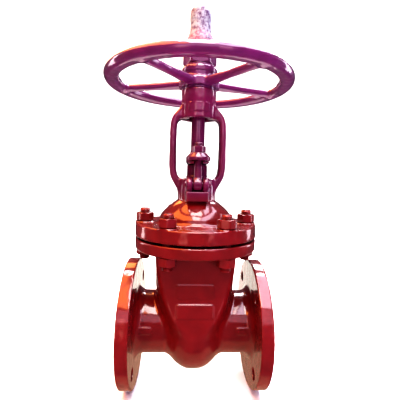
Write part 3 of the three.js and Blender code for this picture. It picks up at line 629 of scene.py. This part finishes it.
def wrinkles(angle, z, seed):
    """A few crossing waves, from -1 to 1, as a thin wrap shows."""
    rng = np.random.default_rng(seed)
    total = 0
    for _ in range(14):
        around = rng.integers(1, 9)
        rise = rng.uniform(-0.9, 0.9)
        total = total + rng.uniform(0.3, 1) * np.sin(around * angle + rise * z + rng.uniform(0, 6.28))
    return total / 4


def make_stem_cover():
    low, high = span("stem_cover")
    outside = smooth_curve([(low.z, 23), (low.z + 10, 23), (547, 21.2), (556, 17.6), (568, 16.4), (587, 16.4),
                            (591, 15.3), (593.2, 12.6), (high.z, 9)])
    inside = smooth_curve([(low.z, 17.6), (low.z + 12, 17.6), (low.z + 26, 13.6), (591, 13.6)])
    sides = 96
    angle = 2 * np.pi * np.arange(sides) / sides
    rings = []
    for z in np.concatenate([np.arange(low.z, 590, 1.1), [591, 592, 592.8, 593.4, 593.8, high.z]]):
        wave = wrinkles(angle, z, 3) * 0.35 * ease(z, low.z, 540) * (1 - ease(z, 588, high.z))
        r = outside(z) - 0.4 + wave
        rings.append(circle(r, z, sides))
    rings.append(circle(3, high.z, sides))
    rings.reverse()
    for z in np.arange(low.z, 590, 6):
        rings.append(circle(inside(z), z, sides))
    rings.append(circle(3, 590.5, sides))
    rings.reverse()
    return rings_mesh("stem_cover_wrap", rings, closed=False)


def make_stem():
    low, high = span("stem")
    at = (low.z, low.z + 6, low.z + 6.1, low.z + 17, low.z + 19, 266, 267, 271, 275, high.z)
    width = (14, 14, 8.5, 8.5, 10.5, 10.5, 14, 14, 10.5, 10.5)
    sides = 64
    angle = 2 * np.pi * np.arange(sides) / sides
    plain = np.arange(low.z, THREAD_FOOT, 1.5)
    levels = np.concatenate([plain, np.arange(THREAD_FOOT, high.z, THREAD_PITCH / 10), [high.z]])
    rings = []
    for z in levels:
        fade = ease(z, THREAD_FOOT, 433) * (1 - ease(z, high.z - 4, high.z))
        worn = fade * screw_depth(np.cos(angle), np.sin(angle), z, THREAD_PITCH, 2.2)
        r = np.interp(z, at, width) - worn
        r = r - max(0, z - high.z + 1.5)
        rings.append(circle(r, z, sides))
    return rings_mesh("stem_bar", rings, closed=False)


def make_pieces():
    """Every shown piece as (object, body, slot, CAD nodes that it replaces)."""
    pieces = []

    def add(piece, body, slot, *nodes):
        pieces.append((piece, body, slot, nodes))

    add(cast("body_casting", body_field, BODY_LOW, BODY_HIGH, 1.6), "valve_body", "casting_paint", "body")
    bonnet = cast("bonnet_casting", bonnet_field, BONNET_LOW, BONNET_HIGH, 1.5)
    add(bonnet, "valve_body", "casting_paint", "bonnet")
    wheel = cast("handwheel_casting", wheel_field, WHEEL_LOW, WHEEL_HIGH, 1.5)
    add(wheel, "drive", "wheel_paint", "handwheel")
    low, high = span("gland_flange")
    add(cast("gland_bridge", gland_field, low, high, 0.9), "gland", "gland_paint", "gland_flange")
    low, high = span("wedge")
    add(cast("wedge_disc", wedge_field, low, high, 1.2), "stem", "trim_steel", "wedge")

    low, high = span("bonnet_gasket")
    add(tube("joint_gasket", 70, 58, low.z, high.z, 0.3), "valve_body", "graphite", "bonnet_gasket")
    for i in range(PACKING_RINGS):
        low, high = span(f"packing_ring_{i + 1}")
        ring = tube(f"packing_{i + 1}", FOLLOWER_R, PACKING_BORE_R, low.z, high.z, 0.5)
        add(ring, "valve_body", "graphite", f"packing_ring_{i + 1}")
    follower = span("gland_follower")
    low, high = follower[0].z, follower[1].z
    outline = [(11, low), (FOLLOWER_R, low), (FOLLOWER_R, 336.5), (15.8, 338), (15.8, high), (11, high)]
    add(turned_ring("follower_tube", outline, 1.2), "gland", "gland_paint", "gland_follower")
    cap = span("yoke_cap")
    outline = [(19.1, cap[0].z), (22.7, cap[0].z), (22.7, HUB_TOP + 0.3), (25, HUB_TOP + 0.3),
               (25, cap[1].z), (19.1, cap[1].z)]
    add(turned_ring("yoke_cap_ring", outline, 0.6), "valve_body", "wheel_paint", "yoke_cap")
    washer = span("wheel_washer")
    add(tube("hub_washer", 24, 16.6, washer[0].z, washer[1].z, 0.6), "drive", "wheel_paint", "wheel_washer")
    lock = span("wheel_lock_nut")
    lock_nut = placed(nut("lock_nut", 46, lock[1].z - lock[0].z, 16.4), 0, 0, lock[0].z)
    add(lock_nut, "drive", "wheel_paint", "wheel_lock_nut")
    add(make_stem(), "stem", "stem_paint", "stem")
    add(make_stem_cover(), "drive", "cover_wrap", "stem_cover")

    for name, side in (("inlet", -1), ("outlet", 1)):
        add(make_seat_ring(name, side), "valve_body", "trim_steel", f"{name}_seat_ring")
    for end, side in (("front", -1), ("back", 1)):
        node = f"eyebolt_{end}"
        low, high = span(node)
        add(cast(f"{node}_forging", eyebolt_field(side), low, high, 0.55), node, "gland_paint", node)
        add(make_pin(f"pin_{end}", side), "valve_body", "gland_paint", f"eyebolt_pin_{end}")
        low, high = span(f"gland_nut_{end}")
        collar = [(6.3, 0), (17.2, 0), (18, 2), (18, 5), (11.4, 12), (6.3, 12)]
        collar = placed(turned_ring(f"gland_collar_{end}", collar, 1.2), 0, side * PIN_Y, low.z)
        add(collar, f"gland_nut_{end}", "gland_paint", f"gland_nut_{end}")
        hexagon = nut(f"gland_hex_{end}", 19, high.z - low.z - GLAND_COLLAR_H, 6.3)
        hexagon = placed(hexagon, 0, side * PIN_Y, low.z + GLAND_COLLAR_H)
        add(hexagon, f"gland_nut_{end}", "gland_paint")
    for i in range(STUDS):
        angle = 2 * math.pi * i / STUDS
        x, y = STUD_CIRCLE_R * math.cos(angle), STUD_CIRCLE_R * math.sin(angle)
        low, high = span(f"bonnet_stud_{i + 1}")
        threads = [(low.z, 226), (262, high.z)]
        stud = threaded_rod(f"stud_{i + 1}", 8, low.z, high.z, threads, 2, 0.8)
        add(placed(stud, x, y, 0), "valve_body", "fastener_paint", f"bonnet_stud_{i + 1}")
        for level in ("upper", "lower"):
            node = f"{level}_nut_{i + 1}"
            low, high = span(node)
            hexagon = nut(f"{level}_hex_{i + 1}", 24, high.z - low.z, 8.3, turn=i * 0.37)
            add(placed(hexagon, x, y, low.z), "valve_body", "fastener_paint", node)
    return pieces


def make_seat_ring(name, side):
    """A ring round the pipe axis, its inner end cut to the wedge's slope."""
    sides = 96
    angle = 2 * np.pi * np.arange(sides) / sides
    rings = []
    for radius, x in ((BORE_R, None), (SEAT_RING_R, None), (SEAT_RING_R, SEAT_BACK_X), (BORE_R, SEAT_BACK_X)):
        y, z = radius * np.cos(angle), radius * np.sin(angle)
        at = WEDGE_HALF_T + 0.3 + z * SEAT_SLOPE if x is None else np.full(sides, x)
        rings.append(np.stack([side * at, y, z + PIPE_Z], axis=1))
    if side > 0:
        rings.reverse()
    return rings_mesh(f"{name}_seat", rings, closed=True)


def make_pin(name, side):
    pin = threaded_rod(name, 4.5, -19.5, 19.5, [], 1, 0, chamfer=1)
    pin.data.transform(Matrix.Rotation(math.pi / 2, 4, "Y"))
    return placed(pin, 0, side * PIN_Y, PIN_Z)


# ---------- materials ----------

def new_material(name):
    material = bpy.data.materials.new(name)
    material.use_nodes = True
    nodes = material.node_tree.nodes
    return material, nodes, material.node_tree.links, nodes["Principled BSDF"]


def noise_of(nodes, links, scale, detail=3.0, roughness=0.5):
    where = nodes.new("ShaderNodeTexCoord")
    noise = nodes.new("ShaderNodeTexNoise")
    noise.inputs["Scale"].default_value = scale
    noise.inputs["Detail"].default_value = detail
    noise.inputs["Roughness"].default_value = roughness
    links.new(where.outputs["Object"], noise.inputs["Vector"])
    return noise.outputs["Fac"]


def ranged(nodes, links, source, low, high, from_low=0.3, from_high=0.7):
    node = nodes.new("ShaderNodeMapRange")
    node.inputs["From Min"].default_value = from_low
    node.inputs["From Max"].default_value = from_high
    node.inputs["To Min"].default_value = low
    node.inputs["To Max"].default_value = high
    links.new(source, node.inputs["Value"])
    return node.outputs["Result"]


def mixed(nodes, links, share, first, second):
    """A colour from first to second; each is a colour or a socket."""
    node = nodes.new("ShaderNodeMix")
    node.data_type = "RGBA"
    links.new(share, node.inputs["Factor"])
    for key, value in (("A", first), ("B", second)):
        socket = [s for s in node.inputs if s.name == key and s.type == "RGBA"][0]
        if isinstance(value, bpy.types.NodeSocket):
            links.new(value, socket)
        else:
            socket.default_value = (*value, 1)
    return [s for s in node.outputs if s.type == "RGBA"][0]


def height_of(nodes, links):
    where = nodes.new("ShaderNodeTexCoord")
    parts = nodes.new("ShaderNodeSeparateXYZ")
    links.new(where.outputs["Object"], parts.inputs["Vector"])
    return parts.outputs["Z"]


def bumped(nodes, links, height, distance, strength, under=None):
    node = nodes.new("ShaderNodeBump")
    node.inputs["Distance"].default_value = distance
    node.inputs["Strength"].default_value = strength
    links.new(height, node.inputs["Height"])
    if under is not None:
        links.new(under, node.inputs["Normal"])
    return node.outputs["Normal"]


def edge_share(nodes, links, low, high):
    """From 0 on flats and hollows to 1 on sharp outer edges."""
    shape = nodes.new("ShaderNodeNewGeometry")
    return ranged(nodes, links, shape.outputs["Pointiness"], 0, 1, low, high)


def enamel(name, color, edge_color, grain=0.3, roughness=(0.34, 0.50), coat=0.9, specular=0.15, upper=None):
    """Thick gloss enamel: uneven tint, orange peel over the casting's grain, thinner on the edges.

    upper is the painted violet shade that the tint changes to above the stuffing box.
    """
    material, nodes, links, shader = new_material(name)
    tint = color
    # painted violet shade: the tint turns violet from the stuffing box up
    if upper:
        share = ranged(nodes, links, height_of(nodes, links), 0, 1, 0.294, 0.314)
        tint = mixed(nodes, links, share, color, upper)
    patches = ranged(nodes, links, noise_of(nodes, links, 45, 4), 0.86, 1.12)
    uneven = nodes.new("ShaderNodeHueSaturation")
    if upper:
        links.new(tint, uneven.inputs["Color"])
    else:
        uneven.inputs["Color"].default_value = (*color, 1)
    links.new(patches, uneven.inputs["Value"])
    worn = mixed(nodes, links, edge_share(nodes, links, 0.55, 0.66), uneven.outputs["Color"], edge_color)
    links.new(worn, shader.inputs["Base Color"])
    sheen = ranged(nodes, links, noise_of(nodes, links, 130, 3), *roughness)
    links.new(sheen, shader.inputs["Roughness"])
    shader.inputs["Specular IOR Level"].default_value = specular
    shader.inputs["Coat Weight"].default_value = coat
    shader.inputs["Coat Roughness"].default_value = 0.12
    shader.inputs["Coat IOR"].default_value = 1.85
    cast_grain = bumped(nodes, links, noise_of(nodes, links, 240, 4, 0.6), 0.0004, grain)
    peel = bumped(nodes, links, noise_of(nodes, links, 900, 2), 0.00008, 0.3, cast_grain)
    links.new(peel, shader.inputs["Normal"])
    return material


def bare_metal(name, color, roughness=(0.28, 0.45), scale=400):
    """Machined metal with fine scratches."""
    material, nodes, links, shader = new_material(name)
    tint = mixed(nodes, links, noise_of(nodes, links, 60, 4), [c * 0.8 for c in color], color)
    links.new(tint, shader.inputs["Base Color"])
    shader.inputs["Metallic"].default_value = 1.0
    links.new(ranged(nodes, links, noise_of(nodes, links, scale, 4), *roughness), shader.inputs["Roughness"])
    scratches = noise_of(nodes, links, scale * 3, 2)
    links.new(bumped(nodes, links, scratches, 0.0001, 0.4), shader.inputs["Normal"])
    return material


def pressed_graphite(name):
    material, nodes, links, shader = new_material(name)
    tint = mixed(nodes, links, noise_of(nodes, links, 500, 4), (0.012, 0.012, 0.014), (0.05, 0.05, 0.055))
    links.new(tint, shader.inputs["Base Color"])
    links.new(ranged(nodes, links, noise_of(nodes, links, 300, 3), 0.55, 0.8), shader.inputs["Roughness"])
    links.new(bumped(nodes, links, noise_of(nodes, links, 1500, 2), 0.0002, 0.5), shader.inputs["Normal"])
    return material


def crumpled_wrap(name):
    """A thin pale wrap, crumpled, with painted light and shade on its crumples and red paint dusted on its
    lower end.
    """
    material, nodes, links, shader = new_material(name)
    crumple = noise_of(nodes, links, 190, 5, 0.65)
    # painted shade and light: the tint runs from dark violet to pale with a noise over the crumples
    lit = ranged(nodes, links, crumple, 0, 1, 0.38, 0.58)
    tint = mixed(nodes, links, lit, (0.09, 0.04, 0.11), (0.33, 0.35, 0.38))
    height = ranged(nodes, links, height_of(nodes, links), 1, 0, 0.532, 0.562)
    patches = nodes.new("ShaderNodeMath")
    patches.operation = "MULTIPLY"
    links.new(height, patches.inputs[0])
    links.new(ranged(nodes, links, noise_of(nodes, links, 150, 4), 0, 0.9), patches.inputs[1])
    painted = mixed(nodes, links, patches.outputs["Value"], tint, (0.42, 0.05, 0.12))
    links.new(painted, shader.inputs["Base Color"])
    links.new(ranged(nodes, links, crumple, 0.35, 0.6), shader.inputs["Roughness"])
    folds = bumped(nodes, links, noise_of(nodes, links, 130, 5, 0.65), 0.002, 0.9)
    creases = noise_of(nodes, links, 900, 3)
    links.new(bumped(nodes, links, creases, 0.0005, 0.6, folds), shader.inputs["Normal"])
    return material


def make_materials():
    return {
        # upper is painted violet shade on the yoke and hub; the casting's paint is red all over
        "casting_paint": enamel("casting_enamel", (0.15, 0.007, 0.010), (0.30, 0.035, 0.02),
                                upper=(0.13, 0.012, 0.058)),
        # the violet in the gland's, stem's and wheel's red paint is painted violet shade
        "gland_paint": enamel("gland_enamel", (0.11, 0.009, 0.050), (0.28, 0.045, 0.07), 0.25),
        "stem_paint": enamel("stem_enamel", (0.115, 0.012, 0.062), (0.26, 0.04, 0.08), 0.12),
        "wheel_paint": enamel("wheel_enamel", (0.12, 0.015, 0.086), (0.26, 0.04, 0.09), 0.3, coat=1.0),
        "fastener_paint": enamel("fastener_enamel", (0.165, 0.009, 0.012), (0.33, 0.04, 0.03), 0.2),
        "cover_wrap": crumpled_wrap("crumpled_wrap"),
        "trim_steel": bare_metal("turned_steel", (0.62, 0.62, 0.64)),
        "bronze": bare_metal("turned_bronze", (0.62, 0.38, 0.14)),
        "graphite": pressed_graphite("pressed_graphite"),
    }


# ---------- stage, light and camera ----------

def make_floor():
    """A pale floor that sweeps up into a wall all round, well away from the valve."""
    flat, wall, bend, top = 2.2, 3.4, 1.2, 3.2
    sides = 96
    section = [(0.02, 0), (0.6, 0), (1.2, 0), (flat, 0)]
    for i in range(1, 13):
        angle = math.pi / 2 * i / 12
        section.append((flat + bend * math.sin(angle), bend * (1 - math.cos(angle))))
    section.append((wall, top))
    rings = [circle(r / MM, z / MM, sides) for r, z in section]
    faces = [tuple(range(sides))]
    for k in range(len(rings) - 1):
        here, there = sides * k, sides * (k + 1)
        for i in range(sides):
            j = (i + 1) % sides
            faces.append((here + i, there + i, there + j, here + j))
    floor = mesh_object("floor", np.concatenate(rings), faces)
    material, _, _, shader = new_material("pale_floor")
    shader.inputs["Base Color"].default_value = (0.8, 0.8, 0.8, 1)
    shader.inputs["Roughness"].default_value = 0.7
    shader.inputs["Specular IOR Level"].default_value = 0.2
    floor.data.materials.append(material)
    floor.visible_glossy = False  # its reflection would pale the enamel; floor_glow stands in for it


def add_light(name, place, size, power, color, target=(0, 0, 0.32)):
    data = bpy.data.lights.new(name, "AREA")
    data.shape = "RECTANGLE"
    data.size, data.size_y = size
    data.energy = power
    data.color = color
    light = bpy.data.objects.new(name, data)
    light.location = place
    light.rotation_euler = (Vector(target) - light.location).to_track_quat("-Z", "Y").to_euler()
    bpy.context.scene.collection.objects.link(light)
    return light


def make_lights():
    """Ceiling panels, orange on the left to lilac on the right, and weaker lights round them.

    floor_glow and near_glow lie on the floor and are what the flanges' inner faces show of it. The fills
    light the floor and the wheel's underside and aren't seen in the enamel.
    """
    add_light("ceiling_left", (-0.8, -0.45, 1.45), (0.96, 1.9), 25, (1.0, 0.38, 0.10), (-0.8, -0.45, 0))
    add_light("ceiling_middle", (0, -0.45, 1.5), (0.55, 1.9), 21, (1.0, 0.93, 0.90), (0, -0.45, 0))
    add_light("ceiling_right", (0.62, -0.45, 1.45), (0.6, 1.9), 15, (0.90, 0.86, 1.0), (0.62, -0.45, 0))
    add_light("back_left", (-0.5, 1.1, 1.2), (0.5, 0.5), 4, (1.0, 0.42, 0.14), (-0.3, 0.3, 0))
    add_light("back_right", (0.25, 1.1, 1.2), (0.8, 0.5), 9, (0.98, 0.96, 1.0), (0, 0.3, 0))
    add_light("front", (0.1, -1.5, 0.95), (1.6, 0.7), 3, (0.95, 0.85, 1.0), (0, 0, 0.42))
    add_light("front_left", (-0.6, -1.5, 0.45), (0.4, 0.9), 1.2, (1.0, 0.62, 0.50))
    add_light("front_right", (0.75, -1.5, 0.45), (0.4, 0.9), 1, (1.0, 0.66, 0.62))
    add_light("left_strip", (-1.2, 0.45, 0.6), (0.25, 1.2), 3, (1.0, 0.93, 0.93))
    add_light("right_strip", (1.2, 0.45, 0.6), (0.3, 1.2), 3.5, (0.95, 0.92, 1.0))
    floor_glow = add_light("floor_glow", (0, 0.53, 0.004), (0.9, 0.8), 2.4, (1.0, 0.93, 0.82), (0, 0.53, 1))
    near_glow = add_light("near_glow", (0, 0.01, 0.004), (0.24, 0.24), 0.07, (1.0, 0.62, 0.36), (0, 0.01, 1))
    floor_fill = add_light("floor_fill", (0, 1.3, 0.6), (1.2, 0.4), 20, (1.0, 1.0, 1.0), (0, 0, 0))
    violet = add_light("violet_fill", (0.55, -0.75, 0.22), (0.5, 0.3), 3, (0.50, 0.28, 1.0), (0, 0, 0.56))
    for light in (floor_fill, violet):
        light.visible_glossy = False
    for light in (floor_glow, near_glow, floor_fill, violet):
        light.visible_camera = False
    add_light("wall_wash", (0, 0.9, 2.2), (1.6, 0.8), 52, (1.0, 1.0, 1.0), (0, 3.2, 0.6))
    world = bpy.data.worlds.new("studio")
    world.use_nodes = True
    background = world.node_tree.nodes["Background"]
    background.inputs["Color"].default_value = (0.85, 0.85, 1.0, 1)
    background.inputs["Strength"].default_value = 0.1
    bpy.context.scene.world = world


def make_camera():
    """A camera in front of the valve, a little above the middle and turned a little to the right."""
    data = bpy.data.cameras.new("camera")
    data.sensor_width = 36
    data.lens = 27.935
    camera = bpy.data.objects.new("camera", data)
    yaw, pitch, roll = 0.0493, -0.0692, 0.0268
    ahead = Vector((math.sin(yaw) * math.cos(pitch), math.cos(yaw) * math.cos(pitch), math.sin(pitch)))
    right = Vector((math.cos(yaw), -math.sin(yaw), 0))
    up = right.cross(ahead)
    across = math.cos(roll) * right + math.sin(roll) * up
    upward = -math.sin(roll) * right + math.cos(roll) * up
    camera.matrix_world = Matrix.Translation((-0.018576, -0.498255, 0.333601)) @ Matrix(
        (across, upward, -ahead)).transposed().to_4x4()
    bpy.context.scene.collection.objects.link(camera)
    bpy.context.scene.camera = camera


make_camera()
make_lights()
make_floor()
materials = make_materials()
for piece, body, slot_name, nodes in make_pieces():
    piece.data.materials.append(materials[slot_name])
    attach(piece, body)
    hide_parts(*nodes)
    if piece.name.startswith("packing_"):  # the rings are pressed down together by the gland
        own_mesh(piece)

node_slots = {part["node"]: part["material_slot"] for part in frame["record"]["subparts"]}
for name, node in frame["nodes"].items():
    node.data.materials.clear()
    node.data.materials.append(materials[node_slots[name]])

settings = bpy.context.scene.view_settings
settings.view_transform = "Standard"
settings.look = "Very High Contrast"
